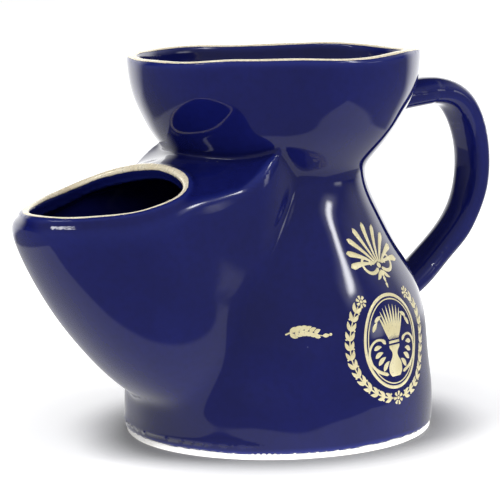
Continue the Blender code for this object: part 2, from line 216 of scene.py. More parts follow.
def ripple(x, y, z):
    """The slow unevenness of clay that was cast, luted and sponged by hand."""
    first = np.sin(0.21 * x + 0.12 * y + 0.17 * z + 0.5) * np.sin(0.17 * y - 0.11 * z + 1.3)
    second = np.sin(0.13 * x - 0.24 * y + 0.9) * np.sin(0.22 * z + 0.09 * x + 2.1)
    return 0.11 * first + 0.09 * second


def hull_level(x, y, z):
    reach, centre, wide = hull_reach(z), hull_centre(z), hull_width(z)
    u = np.maximum(-centre - x, 0.0) / (reach - centre)
    v = np.abs(y) / wide
    return (u ** HULL_POWER + v ** HULL_POWER + 1e-12) ** (1 / HULL_POWER) - 1


def hull_side(x, y, z):
    """Distance to the hull's side, from its level and that level's slope."""
    level = hull_level(x, y, z)
    step = 0.25
    slope_x = (hull_level(x + step, y, z) - hull_level(x - step, y, z)) / (2 * step)
    slope_y = (hull_level(x, y + step, z) - hull_level(x, y - step, z)) / (2 * step)
    slope_z = (hull_level(x, y, z + step) - hull_level(x, y, z - step)) / (2 * step)
    slope = np.sqrt(slope_x ** 2 + slope_y ** 2 + slope_z ** 2)
    return level / np.maximum(slope, 0.02)


def lip_place(x, y, z):
    """Where a point lies by the lip: outside its edge, above its top, and cos t and sin t."""
    dx, dz = x - LIP_CENTRE_X, z - LIP_CENTRE_Z
    along = -dx * math.cos(LIP_DIP) - dz * math.sin(LIP_DIP)
    lift = -dx * math.sin(LIP_DIP) + dz * math.cos(LIP_DIP)
    cos_t, sin_t = along / 24.0, y / LIP_HALF_WIDTH
    for _ in range(4):
        size = np.hypot(cos_t, sin_t) + 1e-6
        cos_t, sin_t = cos_t / size, sin_t / size
        length = LIP_BACK + (LIP_FRONT - LIP_BACK) * ramp(cos_t, -0.35, 0.35)
        width = LIP_HALF_WIDTH - LIP_EGG * cos_t
        cos_t, sin_t = along / length, y / width
    level = np.hypot(cos_t, sin_t) + 1e-6
    slope = np.hypot(cos_t / length, sin_t / width) / level
    outside = (level - 1) / np.maximum(slope, 0.02)
    cos_t, sin_t = cos_t / level, sin_t / level
    top = LIP_SADDLE * (cos_t ** 2 - sin_t ** 2)
    return outside, lift - top, level


def spout_members(x, y, z):
    """Hull with its deck, the upstanding lip, and what they hollow out."""
    outside, above, level = lip_place(x, y, z)
    arch = DECK_ARCH * (1 - ramp(x, -36, -20))
    fall = arch * y ** 2 * np.maximum(1 - 1 / level ** 2, 0.0)
    deck = (above + LIP_PROUD + fall) / 1.04
    side = hull_side(x, y, z)
    lean = FLANK_LEAN * ramp(x, -70, -50) * np.maximum(LEAN_DEPTH + deck, 0.0) ** 2
    side = side + np.minimum(lean, 4.0) + RUN_OUT * ramp(x, RUN_OUT_FROM, HULL_END)
    shoulder = 8.0 - 6.0 * ramp(x, -72, -46)
    hull = smooth_max(side, deck, shoulder)
    hull = smooth_max(hull, x - HULL_END, 5.0)
    lip = smooth_max(outside, above, 1.8)
    lip = np.maximum(lip, -above - 6.0)
    hull = smooth_min(hull, lip, 2.4)
    mouth = np.maximum(outside + LIP_WALL, -above - 9.0)
    inside = smooth_max(side + WALL, deck + WALL, 4.0)
    inside = np.maximum(inside, x - HULL_END + 8.0)
    return hull, mouth, inside


handle_line_at = np.linspace(0, 1, 110)
handle_gaps = np.hypot(*np.diff(np.array(HANDLE_STATIONS), axis=0).T)
handle_at = np.concatenate([[0], np.cumsum(handle_gaps)]) / handle_gaps.sum()
handle_x, handle_z = [spline(handle_at, row)(handle_line_at) for row in zip(*HANDLE_STATIONS)]
handle_out, handle_in, handle_wide = [spline(*zip(*rows))
                                      for rows in (HANDLE_OUT, HANDLE_IN, HANDLE_WIDE)]


def handle_distance(x, y, z):
    """Distance to a flattened oval swept along the handle's centre line."""
    best = np.full(x.shape, 1e9)
    across, place = np.zeros(x.shape), np.zeros(x.shape)
    for i in range(len(handle_x) - 1):
        ax, az = handle_x[i], handle_z[i]
        bx, bz = handle_x[i + 1] - ax, handle_z[i + 1] - az
        t = np.clip(((x - ax) * bx + (z - az) * bz) / (bx * bx + bz * bz), 0.0, 1.0)
        gap = np.hypot(x - ax - t * bx, z - az - t * bz)
        side = np.sign((x - ax) * -bz + (z - az) * bx)
        nearer = gap < best
        best = np.where(nearer, gap, best)
        across = np.where(nearer, side * gap, across)
        place = np.where(nearer, handle_line_at[i], place)
    depth = np.where(across > 0, handle_out(place), handle_in(place))
    wide = handle_wide(place)
    u, v = np.abs(across) / depth, np.abs(y) / wide
    level = (u ** HANDLE_POWER + v ** HANDLE_POWER + 1e-12) ** (1 / HANDLE_POWER)
    slope = np.hypot(u ** (HANDLE_POWER - 1) / depth, v ** (HANDLE_POWER - 1) / wide)
    slope *= level ** (1 - HANDLE_POWER)
    return (level - 1) / np.maximum(slope, 0.05)


def clay(x, y, z):
    """Signed distance to the whole glazed mug, negative inside the clay."""
    r = np.hypot(x, y)
    body = body_side(r, z) - front_ridge(x, y, z)
    bowl = bowl_side(bowl_radius(x, y, z), z)
    outer_bowl = smooth_max(bowl, z - rim_height(x, y), 2.4)
    vessel = smooth_min(np.maximum(body, z - 80.0), np.maximum(outer_bowl, 70.0 - z), 2.6)

    hull, mouth, spout_inside = spout_members(x, y, z)
    fillet = 6.0 - 3.2 * ramp(z, 58, 72)
    whole = smooth_min(vessel, hull, fillet)

    reach = x > 24.0
    grip = np.full(x.shape, 20.0)
    grip[reach] = handle_distance(x[reach], y[reach], z[reach])
    whole = smooth_min(whole, grip, 6.0)

    hollow = smooth_max(body + WALL, FLOOR_Z - z, 6.0)
    hollow = smooth_max(hollow, z - BOWL_FLOOR_LOW, 3.0)
    oval = np.hypot(y / WINDOW_HALF_WIDTH, (z - WINDOW_Z) / WINDOW_HALF_HEIGHT) - 1
    window = np.maximum(oval * WINDOW_HALF_WIDTH, np.maximum(x + 14.0, -60.0 - x))
    window = smooth_max(window, np.where(x < -40.0, spout_inside, -5.0), 2.0)
    spout_inside = smooth_max(spout_inside, -body, 2.0)
    water = smooth_min(smooth_min(hollow, spout_inside, 1.5), window, 3.0)
    water = smooth_min(water, mouth, 1.5)

    soap = smooth_max(bowl + WALL, BOWL_FLOOR_Z - z, 9.0)
    centres = [(0.0, 0.0)]
    for i in range(DRAIN_COUNT):
        turn = math.tau * i / DRAIN_COUNT
        centres.append((DRAIN_CIRCLE * math.cos(turn), DRAIN_CIRCLE * math.sin(turn)))
    drains = np.full(x.shape, 20.0)
    for cx, cy in centres:
        drains = np.minimum(drains, np.hypot(x - cx, y - cy) - DRAIN_RADIUS)
    drains = np.maximum(drains, np.abs(z - 82.4) - 6.0)
    soap = smooth_min(soap, drains, 1.4)

    whole = smooth_max(whole, -water, 2.2)
    whole = smooth_max(whole, -soap, 2.4)
    recess = smooth_max(r - RECESS_RADIUS, z - RECESS_TOP, 3.0)
    whole = smooth_max(whole, -recess, 1.2)
    turn = np.arctan2(y, x)
    edge = FOOT_TOP + 0.1 + 0.10 * np.sin(4 * turn + 1.0) + 0.07 * np.sin(11 * turn)
    return smooth_max(whole + ripple(x, y, z), edge - z, 0.9)


# ---------------------------------------------------------------- level surface to mesh
def gradient(points, step=0.04):
    """Slope of the clay's distance at points, a row each."""
    slopes = np.empty_like(points)
    for axis in range(3):
        ahead, behind = points.copy(), points.copy()
        ahead[:, axis] += step
        behind[:, axis] -= step
        slopes[:, axis] = (clay(*ahead.T) - clay(*behind.T)) / (2 * step)
    return slopes


def onto_clay(points, lift=0.0, rounds=3):
    """Points moved to where the distance is lift, and the outward normals there."""
    for _ in range(rounds):
        slopes = gradient(points)
        size = np.maximum((slopes ** 2).sum(1), 0.05)
        step = (clay(*points.T) - lift) / size
        points = points - slopes * np.clip(step, -1.5, 1.5)[:, None]
    slopes = gradient(points)
    return points, slopes / np.linalg.norm(slopes, axis=1)[:, None]


def surface_net(values, low, step):
    """Quads on the zero level of a grid: one point in each cell that the level crosses."""
    inside = values < 0
    corners = [(i, j, k) for i in (0, 1) for j in (0, 1) for k in (0, 1)]
    cells = tuple(n - 1 for n in values.shape)

    def corner(array, c):
        return array[c[0]:c[0] + cells[0], c[1]:c[1] + cells[1], c[2]:c[2] + cells[2]]

    filled = sum(corner(inside, c).astype(np.int8) for c in corners)
    crossed = (filled > 0) & (filled < 8)
    where = np.argwhere(crossed)
    number = np.full(cells, -1, np.int64)
    number[crossed] = np.arange(len(where))
    held = np.stack([corner(values, c)[crossed] for c in corners], 1)
    places = np.array(corners, float)
    total, count = np.zeros((len(where), 3)), np.zeros(len(where))
    for a in range(8):
        for b in range(a + 1, 8):
            if np.abs(places[a] - places[b]).sum() != 1:
                continue
            cut = (held[:, a] < 0) != (held[:, b] < 0)
            t = held[cut, a] / (held[cut, a] - held[cut, b])
            total[cut] += places[a] + t[:, None] * (places[b] - places[a])
            count[cut] += 1
    points = low + (where + total / count[:, None]) * step

    quads = []
    for axis in range(3):
        one, two = [(1, 2), (2, 0), (0, 1)][axis]
        first = np.moveaxis(inside, axis, 0)
        change = np.moveaxis(first[1:] != first[:-1], 0, axis)
        at = np.argwhere(change)
        at = at[(at[:, one] > 0) & (at[:, two] > 0)]
        at = at[(at[:, one] < cells[one]) & (at[:, two] < cells[two])]
        ring = []
        for da, db in ((0, 0), (-1, 0), (-1, -1), (0, -1)):
            cell = at.copy()
            cell[:, one] += da
            cell[:, two] += db
            ring.append(number[tuple(cell.T)])
        ring = np.stack(ring, 1)
        flip = ~inside[tuple(at.T)]
        ring[flip] = ring[flip][:, ::-1]
        quads.append(ring)
    return points, np.concatenate(quads)


def relaxed(points, quads, rounds):
    """Points evened out along the surface, then put back on it."""
    edges = np.concatenate([quads[:, [i, (i + 1) % 4]] for i in range(4)])
    edges = np.unique(np.sort(edges, 1), axis=0)
    degree = np.bincount(edges.ravel(), minlength=len(points))
    for _ in range(rounds):
        total = np.zeros_like(points)
        for axis in range(3):
            total[:, axis] = np.bincount(edges[:, 0], points[edges[:, 1], axis], len(points))
            total[:, axis] += np.bincount(edges[:, 1], points[edges[:, 0], axis], len(points))
        points = 0.35 * points + 0.65 * total / degree[:, None]
        points, _ = onto_clay(points, rounds=1)
    return onto_clay(points, rounds=2)


def made_mesh(name, points, faces, normals=None):
    mesh = bpy.data.meshes.new(name)
    mesh.from_pydata(((points + (0.0, 0.0, STAND)) * MM).tolist(), [], faces)
    mesh.shade_smooth()
    if normals is not None:
        mesh.normals_split_custom_set_from_vertices(normals.tolist())
    made = bpy.data.objects.new(name, mesh)
    bpy.context.scene.collection.objects.link(made)
    return made


def thinness(points):
    """How far glaze runs off a point: above 0 on convex edges, below 0 in hollows."""
    reach = 1.5
    total = -6 * clay(*points.T)
    for axis in range(3):
        for side in (-reach, reach):
            moved = points.copy()
            moved[:, axis] += side
            total += clay(*moved.T)
    return total / reach ** 2


def glazed_skin():
    """The clay's level surface from just above the foot upwards."""
    step = NET_STEP
    low = np.array([-REACH - 4, -BODY_RADIUS - 4, FOOT_TOP - 3])
    high = np.array([REACH + 4, BODY_RADIUS + 4, HEIGHT + 3])
    axes = [np.arange(a, b, step) for a, b in zip(low, high)]
    x, y, z = np.meshgrid(*axes, indexing="ij")
    values = clay(x, y, z)
    points, quads = surface_net(values, low, step)
    points, normals = relaxed(points, quads, 3)
    made = made_mesh("glazed_skin", points, quads.tolist(), normals)
    thin = made.data.attributes.new("thinness", "FLOAT", "POINT")
    thin.data.foreach_set("value", thinness(points))
    return made


# ---------------------------------------------------------------- fired gold on rim and lip
def swept_ring(name, seeds, lifts):
    """Closed band: seeds is rounds x section x 3, and each section point has a lift off the clay."""
    rounds, section = seeds.shape[:2]
    points, normals = onto_clay(seeds.reshape(-1, 3), rounds=8)
    points = points + normals * np.tile(lifts, rounds)[:, None]
    faces = []
    for i in range(rounds):
        here, ahead = i * section, (i + 1) % rounds * section
        for k in range(section):
            after = (k + 1) % section
            faces.append((here + k, ahead + k, ahead + after, here + after))
    return made_mesh(name, points, faces)


def band_section(start, end, columns):
    """Fan angles over the top of a wall and back under the gold, with their lifts."""
    over = np.linspace(0, 1, columns)
    back = over[-2:0:-3]
    share = np.concatenate([over, back])
    lifts = np.concatenate([np.full(columns, 0.05), np.full(len(back), -0.14)])
    lifts[[0, columns - 1]] = -0.04
    return start[:, None] + (end - start)[:, None] * share, lifts


def wander(turn, seed):
    """A brush line's unsteadiness, from -1 to 1 round the turn."""
    waves = [(3, 0.35), (7, 0.28), (13, 0.2), (29, 0.1), (47, 0.07)]
    return sum(share * np.sin(count * turn + seed * (count + 1.7)) for count, share in waves)


def bowl_rim_gold():
    turn = np.linspace(0, math.tau, 320, endpoint=False)
    start = np.radians(46 + 9 * wander(turn, 1.0))
    end = np.radians(142 + 9 * wander(turn, 2.3))
    fan, lifts = band_section(start, end, 14)
    top = rim_height(RIM_RADIUS * np.cos(turn), RIM_RADIUS * np.sin(turn))[:, None]
    radius = RIM_RADIUS - WALL / 2 + 0.1 + 2.6 * np.cos(fan)
    seeds = np.stack([radius * np.cos(turn)[:, None] + BOWL_LEAN[0],
                      radius * np.sin(turn)[:, None] + BOWL_LEAN[1],
                      top - 1.6 + 2.6 * np.sin(fan)], 2)
    return swept_ring("bowl_rim_gold", seeds, lifts)


def spout_lip_gold():
    turn = np.linspace(0, math.tau, 260, endpoint=False)
    cos_t, sin_t = np.cos(turn), np.sin(turn)
    start = np.radians(76 + 7 * wander(turn, 0.4))
    end = np.radians(168 - 20 * cos_t + 7 * wander(turn, 3.1))
    fan, lifts = band_section(start, end, 14)
    length = LIP_BACK + (LIP_FRONT - LIP_BACK) * ramp(cos_t, -0.35, 0.35)
    width = LIP_HALF_WIDTH - LIP_EGG * cos_t
    size = np.hypot(cos_t / length, sin_t / width)
    ahead, aside = cos_t / length / size, sin_t / width / size
    out = (2.1 * np.cos(fan)) - LIP_WALL / 2
    along = (length * cos_t)[:, None] + ahead[:, None] * out
    lift = (LIP_SADDLE * np.cos(2 * turn))[:, None] - 1.3 + 2.1 * np.sin(fan)
    seeds = np.stack([LIP_CENTRE_X - along * math.cos(LIP_DIP) - lift * math.sin(LIP_DIP),
                      (width * sin_t)[:, None] + aside[:, None] * out,
                      LIP_CENTRE_Z - along * math.sin(LIP_DIP) + lift * math.cos(LIP_DIP)], 2)
    return swept_ring("spout_lip_gold", seeds[:, ::-1], lifts[::-1])


# ---------------------------------------------------------------- gilt ornament
def drawn(x, y, headings, length, halves):
    """Brush stroke from a point, stepping along its headings, with a half-width at each step."""
    step = length / (len(headings) - 1)
    middle = (headings[1:] + headings[:-1]) / 2
    line = np.cumsum(np.stack([np.cos(middle), np.sin(middle)], 1) * step, axis=0)
    return np.vstack([[x, y], line + (x, y)]), halves * np.ones(len(headings)), False


def leaf(x, y, heading, length, half, bend=0.0):
    t = np.linspace(0, 1, 9)
    return drawn(x, y, heading + bend * t, length, half * np.sin(np.pi * t ** 0.8) ** 0.9 + 0.05)


def curl(x, y, heading, length, bend, start, end):
    """Stroke that tightens as it goes and ends in a knob."""
    t = np.linspace(0, 1, 30)
    half = start + (end - start) * t + 0.35 * np.exp(-((t - 0.95) / 0.035) ** 2)
    half[0], half[-1] = 0.06, 0.1
    return drawn(x, y, heading + bend * t ** 1.7, length, half)


def petal(x, y, heading, length, half, bend=0.0):
    """Club-shaped stroke with a round tip."""
    t = np.linspace(0, 1, 14)
    tip = np.sqrt(np.clip(1 - ((t - 0.82) / 0.18) ** 2, 0.01, 1)) * (t > 0.82) + (t <= 0.82)
    return drawn(x, y, heading + bend * t, length, (0.3 + (half - 0.3) * t ** 1.3) * tip)


def berry(x, y, size):
    t = np.linspace(-0.97, 0.97, 9)
    return np.stack([x + size * t, y + 0 * t], 1), size * np.sqrt(1 - t * t), False


def rosette(x, y, size, petals=7):
    """Round flower of petals about a berry."""
    strokes = [berry(x, y, size * 0.27)]
    for i in range(petals):
        turn = math.tau * (i + 0.5) / petals
        strokes.append(petal(x + 0.38 * size * math.cos(turn), y + 0.38 * size * math.sin(turn),
                             turn, 0.62 * size, 0.30 * size))
    return strokes


def ring(half_width, half_height, half):
    t = np.linspace(0, math.tau, 96, endpoint=False)
    return np.stack([half_width * np.cos(t), half_height * np.sin(t)], 1), np.full(96, half), True


def profile(stations):
    """Upright stroke whose half-width follows (height, half-width) stations."""
    rows = np.array(stations, float)
    fine = np.linspace(rows[0, 0], rows[-1, 0], 24)
    half = np.maximum(spline(*zip(*stations))(fine), 0.08)
    return np.stack([0 * fine, fine], 1), half, False


def both_sides(strokes):
    """The strokes and their mirror images."""
    return strokes + [(line * (-1, 1), half, closed) for line, half, closed in strokes]


def wreath():
    """Two laurel branches between rosettes, open at the top."""
    start, end = math.radians(-82), math.radians(44)
    at = np.linspace(start, end, 40)
    line = WREATH_RADIUS * np.stack([np.cos(at), np.sin(at)], 1)
    branch = [(line, np.linspace(0.28, 0.16, 40), False)]
    pairs = 13
    for i in range(pairs):
        here = start + (end - start) * (i + 0.25) / pairs
        x, y = WREATH_RADIUS * math.cos(here), WREATH_RADIUS * math.sin(here)
        along = here + math.pi / 2
        for side in (-1, 1):
            branch.append(leaf(x, y, along + side * 0.72, 2.9, 0.56, -side * 0.55))
        off = WREATH_RADIUS + (1.1 if i % 2 else -1.1)
        ahead = here + 0.3 / WREATH_RADIUS
        branch.append(berry(off * math.cos(ahead), off * math.sin(ahead), 0.30))
    x, y = 16.0 * math.cos(end + 0.12), 16.0 * math.sin(end + 0.12)
    return both_sides(branch + rosette(x, y, 1.75)) + rosette(0.0, -WREATH_RADIUS - 0.1, 2.0)


def cartouche():
    """Shaving brush between leafy scrolls, in a double oval frame."""
    handle = [(-10.0, 1.9), (-9.3, 2.7), (-7.8, 3.2), (-6.1, 2.8), (-4.6, 1.6), (-3.4, 1.25),
              (-2.5, 1.7), (-1.8, 2.4), (-1.0, 2.5)]
    brush = [profile(handle), (np.array([(-2.3, -0.1), (0.0, -0.1), (2.3, -0.1)]),
                               np.full(3, 0.42), False)]
    for i in range(-4, 5):
        lean = math.radians(90 - 5.4 * i)
        brush.append(leaf(0.50 * i, 0.7, lean, 9.8 - 0.12 * i * i, 0.46, -0.03 * i))
    side = [curl(3.2, -9.2, math.radians(15), 19.5, math.radians(225), 0.55, 0.34),
            leaf(5.0, -8.0, math.radians(112), 3.6, 0.78, 0.7),
            leaf(6.9, -6.1, math.radians(124), 3.6, 0.80, 0.7),
            leaf(8.0, -3.9, math.radians(136), 3.3, 0.75, 0.7),
            leaf(8.4, -1.5, math.radians(148), 3.0, 0.68, 0.7),
            leaf(8.2, 3.6, math.radians(118), 3.4, 0.62, 0.4),
            leaf(7.0, 6.2, math.radians(140), 3.2, 0.56, 0.4)]
    return [ring(11.35, 13.15, 0.5), ring(10.25, 12.0, 0.19)] + brush + both_sides(side)


def palmette():
    """Fan of round-tipped leaves over a tied pair of volutes and a drop of husks."""
    strokes = [petal(0.0, -2.4, math.pi / 2, 11.0, 1.15), berry(0.0, -3.4, 0.85)]
    side = []
    for i in range(1, 5):
        heading = math.radians(90 - 19 * i)
        side.append(petal(0.5 * i, -2.5 - 0.1 * i, heading, 11.0 - 0.12 * i * i, 1.12, -0.13 * i))
    side.append(curl(0.8, -4.2, math.radians(-30), 13.5, math.radians(335), 0.62, 0.32))
    side.append(leaf(0.5, -4.9, math.radians(-62), 3.4, 0.62, 0.7))
    for i in range(3):
        strokes.append(leaf(0.0, -4.6 - 1.75 * i, -math.pi / 2, 2.3 - 0.35 * i, 0.62 - 0.1 * i))
    return strokes + both_sides(side)


def sprig():
    """Leafy twig lying level."""
    t = np.linspace(0, 1, 24)
    strokes = [drawn(-5.6, -0.3, 0.35 * np.cos(4.2 * t), 11.0, 0.24 - 0.1 * t)]
    line = strokes[0][0]
    for i in range(6):
        x, y = line[3 + 3 * i]
        for side in (-1, 1):
            strokes.append(leaf(x, y, side * 0.95, 2.7 - 0.12 * i, 0.62, -side * 0.8))
    strokes.append(leaf(*line[-1], 0.0, 2.2, 0.55))
    strokes.append(berry(7.4, -0.9, 0.45))
    return strokes


def gilt(name, strokes, turn, height):
    """Strokes laid on the vessel's side as one piece of thin raised gilding."""
    places, lifts, faces = [], [], []
    columns = len(GILT_COLUMNS)
    for line, half, closed in strokes:
        ahead = np.roll(line, -1, 0) - np.roll(line, 1, 0)
        if not closed:
            ahead[0], ahead[-1] = line[1] - line[0], line[-1] - line[-2]
        left = ahead[:, ::-1] * (-1, 1) / np.linalg.norm(ahead, axis=1)[:, None]
        first, count = len(lifts), len(line)
        for i in range(count):
            for across, lift in GILT_COLUMNS:
                places.append(line[i] + left[i] * half[i] * across)
                lifts.append(lift)
        for i in range(count if closed else count - 1):
            here, there = first + i * columns, first + (i + 1) % count * columns
            for k in range(columns):
                after = (k + 1) % columns
                faces.append((here + k, there + k, there + after, here + after))
        if not closed:
            last = first + (count - 1) * columns
            faces.append(tuple(range(first, first + columns)))
            faces.append(tuple(range(last + columns - 1, last - 1, -1)))
    u, v = np.array(places).T
    z = height + v
    radius = body_radius(z)
    around = turn + np.arcsin(u / radius)
    seeds = np.stack([radius * np.sin(around), -radius * np.cos(around), z], 1)
    points, normals = onto_clay(seeds, rounds=4)
    return made_mesh(name, points + normals * np.array(lifts)[:, None], faces)


# ---------------------------------------------------------------- foot
def bare_foot():
    """Unglazed ring that was wiped clean, its lower edges worn round."""
    low, high = -STAND, FOOT_TOP + 0.5
    outline = [(FOOT_OUTER - 0.1, high), (FOOT_OUTER + 0.02, FOOT_TOP),
               (FOOT_OUTER, low + FOOT_CORNER + 0.15)]
    for i in range(1, 7):
        turn = math.pi / 2 * i / 6
        outline.append((FOOT_OUTER - FOOT_CORNER * (1 - math.cos(turn)),
                        low + FOOT_CORNER * (1 - math.sin(turn))))
    for i in range(7):
        turn = math.pi / 2 * i / 6
        outline.append((FOOT_INNER + FOOT_CORNER * (1 - math.sin(turn)),
                        low + FOOT_CORNER * (1 - math.cos(turn))))
    outline += [(FOOT_INNER, FOOT_TOP), (FOOT_INNER + 0.1, high)]
    rounds, section = 180, len(outline)
    points, faces = [], []
    for i in range(rounds):
        turn = math.tau * i / rounds
        uneven = 0.06 * math.sin(3 * turn + 0.4) + 0.05 * math.sin(8 * turn + 2.0)
        for radius, z in outline:
            size = radius + uneven
            points.append((size * math.cos(turn), size * math.sin(turn), z))
        here, there = i * section, (i + 1) % rounds * section
        for k in range(section):
            after = (k + 1) % section
            faces.append((here + k, here + after, there + after, there + k))
    return made_mesh("bare_foot", np.array(points), faces)


# ---------------------------------------------------------------- materials
def add_node(tree, kind, inputs, **settings):
    """Node whose inputs, by name or number, are set to values or linked to other sockets."""
    made = tree.nodes.new("ShaderNode" + kind)
    for name, value in settings.items():
        setattr(made, name, value)
    for key, value in inputs.items():
        if isinstance(value, bpy.types.NodeSocket):
            tree.links.new(value, made.inputs[key])
        else:
            made.inputs[key].default_value = value
    return made


def noise(tree, scale, detail=2.0, stretch=(1, 1, 1)):
    """Noise in the piece's own coordinates, scale waves to the metre."""
    where = add_node(tree, "TexCoord", {}).outputs["Object"]
    moved = add_node(tree, "Mapping", {"Vector": where, "Scale": stretch}).outputs[0]
    inputs = {"Vector": moved, "Scale": scale, "Detail": detail}
    return add_node(tree, "TexNoise", inputs).outputs["Fac"]


def spread(tree, value, low, high, start, end):
    """Value from low..high carried to start..end, held at the ends."""
    return add_node(tree, "MapRange", {"Value": value, "From Min": low, "From Max": high,
                                       "To Min": start, "To Max": end}).outputs[0]


def blended(tree, factor, one, two):
    """Colour between two others."""
    return add_node(tree, "Mix", {0: factor, 6: one, 7: two}, data_type="RGBA").outputs[2]


def maths(tree, kind, one, two=0.0):
    return add_node(tree, "Math", {0: one, 1: two}, operation=kind).outputs[0]


def painted(name, colour, roughness, bump, distance, **constants):
    """Material from a function for each of colour, roughness and bump height."""
    made = bpy.data.materials.new(name)
    made.use_nodes = True
    tree = made.node_tree
    shader = tree.nodes["Principled BSDF"]
    for key, value in constants.items():
        shader.inputs[key.replace("_", " ")].default_value = value
    tree.links.new(colour(tree), shader.inputs["Base Color"])
    tree.links.new(roughness(tree), shader.inputs["Roughness"])
    raised = add_node(tree, "Bump", {"Height": bump(tree), "Distance": distance * MM, "Strength": 1.0})
    tree.links.new(raised.outputs[0], shader.inputs["Normal"])
    return made


def pinholes_and_glints(tree, cell, share, size):
    """1 in a few small spots, the cells' size in millimetres, and 0 elsewhere; the spots are pinhole
    pits, and in colour their pale tone is a painted glint.
    """
    where = add_node(tree, "TexCoord", {}).outputs["Object"]
    spots = add_node(tree, "TexVoronoi", {"Vector": where, "Scale": 1000 / cell})
    draw = add_node(tree, "SeparateColor", {0: spots.outputs["Color"]}).outputs[0]
    chosen = maths(tree, "LESS_THAN", draw, share)
    near = spread(tree, spots.outputs["Distance"], size / cell, 1.6 * size / cell, 1.0, 0.0)
    return maths(tree, "MULTIPLY", chosen, near)


def cobalt_glaze():
    def colour(tree):
        pooled = spread(tree, noise(tree, 33, 3), 0.35, 0.65, 0.0, 1.0)
        base = blended(tree, pooled, (0.0042, 0.0058, 0.066, 1), (0.0054, 0.0077, 0.088, 1))
        mottled = spread(tree, noise(tree, 520, 2), 0.4, 0.7, 0.0, 0.35)
        base = blended(tree, mottled, base, (0.0034, 0.0046, 0.053, 1))
        thin = add_node(tree, "Attribute", {}, attribute_name="thinness").outputs["Fac"]
        edge = spread(tree, thin, 0.10, 0.55, 0.0, 0.55)
        base = blended(tree, edge, base, (0.014, 0.022, 0.165, 1))
        hollow = spread(tree, thin, -0.05, -0.35, 0.0, 0.6)
        base = blended(tree, hollow, base, (0.0025, 0.0032, 0.038, 1))
        # pale colour in the pinholes is a painted glint; the pits themselves are real and are also in
        # the bump
        return blended(tree, pinholes_and_glints(tree, 11, 0.16, 0.09), base, (0.13, 0.15, 0.28, 1))

    def roughness(tree):
        return spread(tree, noise(tree, 90, 4), 0.3, 0.7, 0.030, 0.075)

    def bump(tree):
        peel = maths(tree, "MULTIPLY", noise(tree, 260, 2), 0.8)
        pits = maths(tree, "MULTIPLY", pinholes_and_glints(tree, 11, 0.16, 0.09), -0.5)
        return maths(tree, "ADD", peel, pits)

    return painted("cobalt_glaze", colour, roughness, bump, 0.012, IOR=1.52)


def bright_gold():
    def colour(tree):
        brushed = spread(tree, noise(tree, 180, 2, (1, 1, 2)), 0.35, 0.7, 0.0, 1.0)
        base = blended(tree, brushed, (1.0, 0.91, 0.70, 1), (0.98, 0.85, 0.60, 1))
        worn = spread(tree, noise(tree, 420, 3), 0.74, 0.80, 0.0, 0.5)
        return blended(tree, worn, base, (0.22, 0.17, 0.14, 1))

    def roughness(tree):
        return spread(tree, noise(tree, 500, 3), 0.3, 0.7, 0.20, 0.36)

    return painted("bright_gold", colour, roughness, lambda tree: noise(tree, 420, 2), 0.012,
                   Metallic=0.25)


def gilt_transfer():
    def colour(tree):
        printed = spread(tree, noise(tree, 240, 3), 0.35, 0.65, 0.0, 1.0)
        base = blended(tree, printed, (0.80, 0.73, 0.47, 1), (0.72, 0.64, 0.37, 1))
        worn = spread(tree, noise(tree, 1600, 2), 0.62, 0.74, 0.0, 0.55)
        return blended(tree, worn, base, (0.30, 0.26, 0.20, 1))

    def roughness(tree):
        return spread(tree, noise(tree, 900, 2), 0.3, 0.7, 0.32, 0.46)

    return painted("gilt_transfer", colour, roughness, lambda tree: noise(tree, 2200, 2), 0.012,
                   Metallic=0.25)


def bare_clay():
    def colour(tree):
        stained = spread(tree, noise(tree, 120, 4), 0.35, 0.7, 0.0, 1.0)
        base = blended(tree, stained, (0.94, 0.93, 0.91, 1), (0.86, 0.84, 0.80, 1))
        specks = spread(tree, noise(tree, 2600, 1), 0.68, 0.76, 0.0, 0.6)
        return blended(tree, specks, base, (0.33, 0.28, 0.22, 1))

    def roughness(tree):
        return spread(tree, noise(tree, 1500, 2), 0.3, 0.7, 0.74, 0.92)

    return painted("bare_clay", colour, roughness, lambda tree: noise(tree, 2400, 3), 0.05)


# ---------------------------------------------------------------- studio
HEADING = math.radians(-40)      # the camera stands this far round from -Y towards +X
TOWARDS = (math.sin(HEADING), -math.cos(HEADING), 0.0)
ACROSS = (math.cos(HEADING), math.sin(HEADING), 0.0)

CAMERA_DISTANCE, CAMERA_HEIGHT = 0.644478, 0.14898    # metres from the axis and the datum
CAMERA_ANGLES = (0.659, 8.628, -1.2125)               # degrees aside, down and rolled
CAMERA_LENS = 157.8

AMBIENT = 0.42                   # even light from all round
# The room in the glaze: overhead, on the camera's side and behind the mug, and where behind starts
ROOM_DARK, ROOM_NEAR, ROOM_PALE, BACK_SPREAD = 0.03, 0.25, 1.7, (-0.45, -0.80)

# The table's own glow near the mug and far off, and its strength in the glaze
GLOW_NEAR, GLOW_FAR, TABLE_SHEEN = 0.34, 0.78, 0.70
# inside this span the table's glow is cut to nothing, a painted contact shadow round the foot
PAINTED_SHADOW_SPAN = (0.040, 0.068)         # metres from the axis over which the glow sets in
# within this reach of the mug the table's colour is painted darker, a painted contact shadow
SHADE_REACH = 0.022              # the table darkens this near to the mug
BOUNCE, BOUNCE_OUT, BOUNCE_LEFT = 2.5, (0.085, 0.060), (-0.050, -0.020)   # light off the table
# The table's edges in the glaze, in metres towards the camera and across
TABLE_FRONT, TABLE_RIGHT, TABLE_LEFT = 0.073, (0.150, 0.138), (-0.19, -0.18)

# Turn, rise, half-sizes, edge and strength of each panel seen in the glaze, and its roll
PANELS = [(33, 34, (0.06, 0.10), 0.05, 15.0), (32, 32, (0.12, 0.18), 0.12, 1.8),
          (-111, 47, (0.022, 0.22), 0.022, 13.0, 21),
          (44, 3, (0.10, 0.06), 0.06, 2.4), (80, 22, (0.35, 0.25), 0.20, 0.6)]


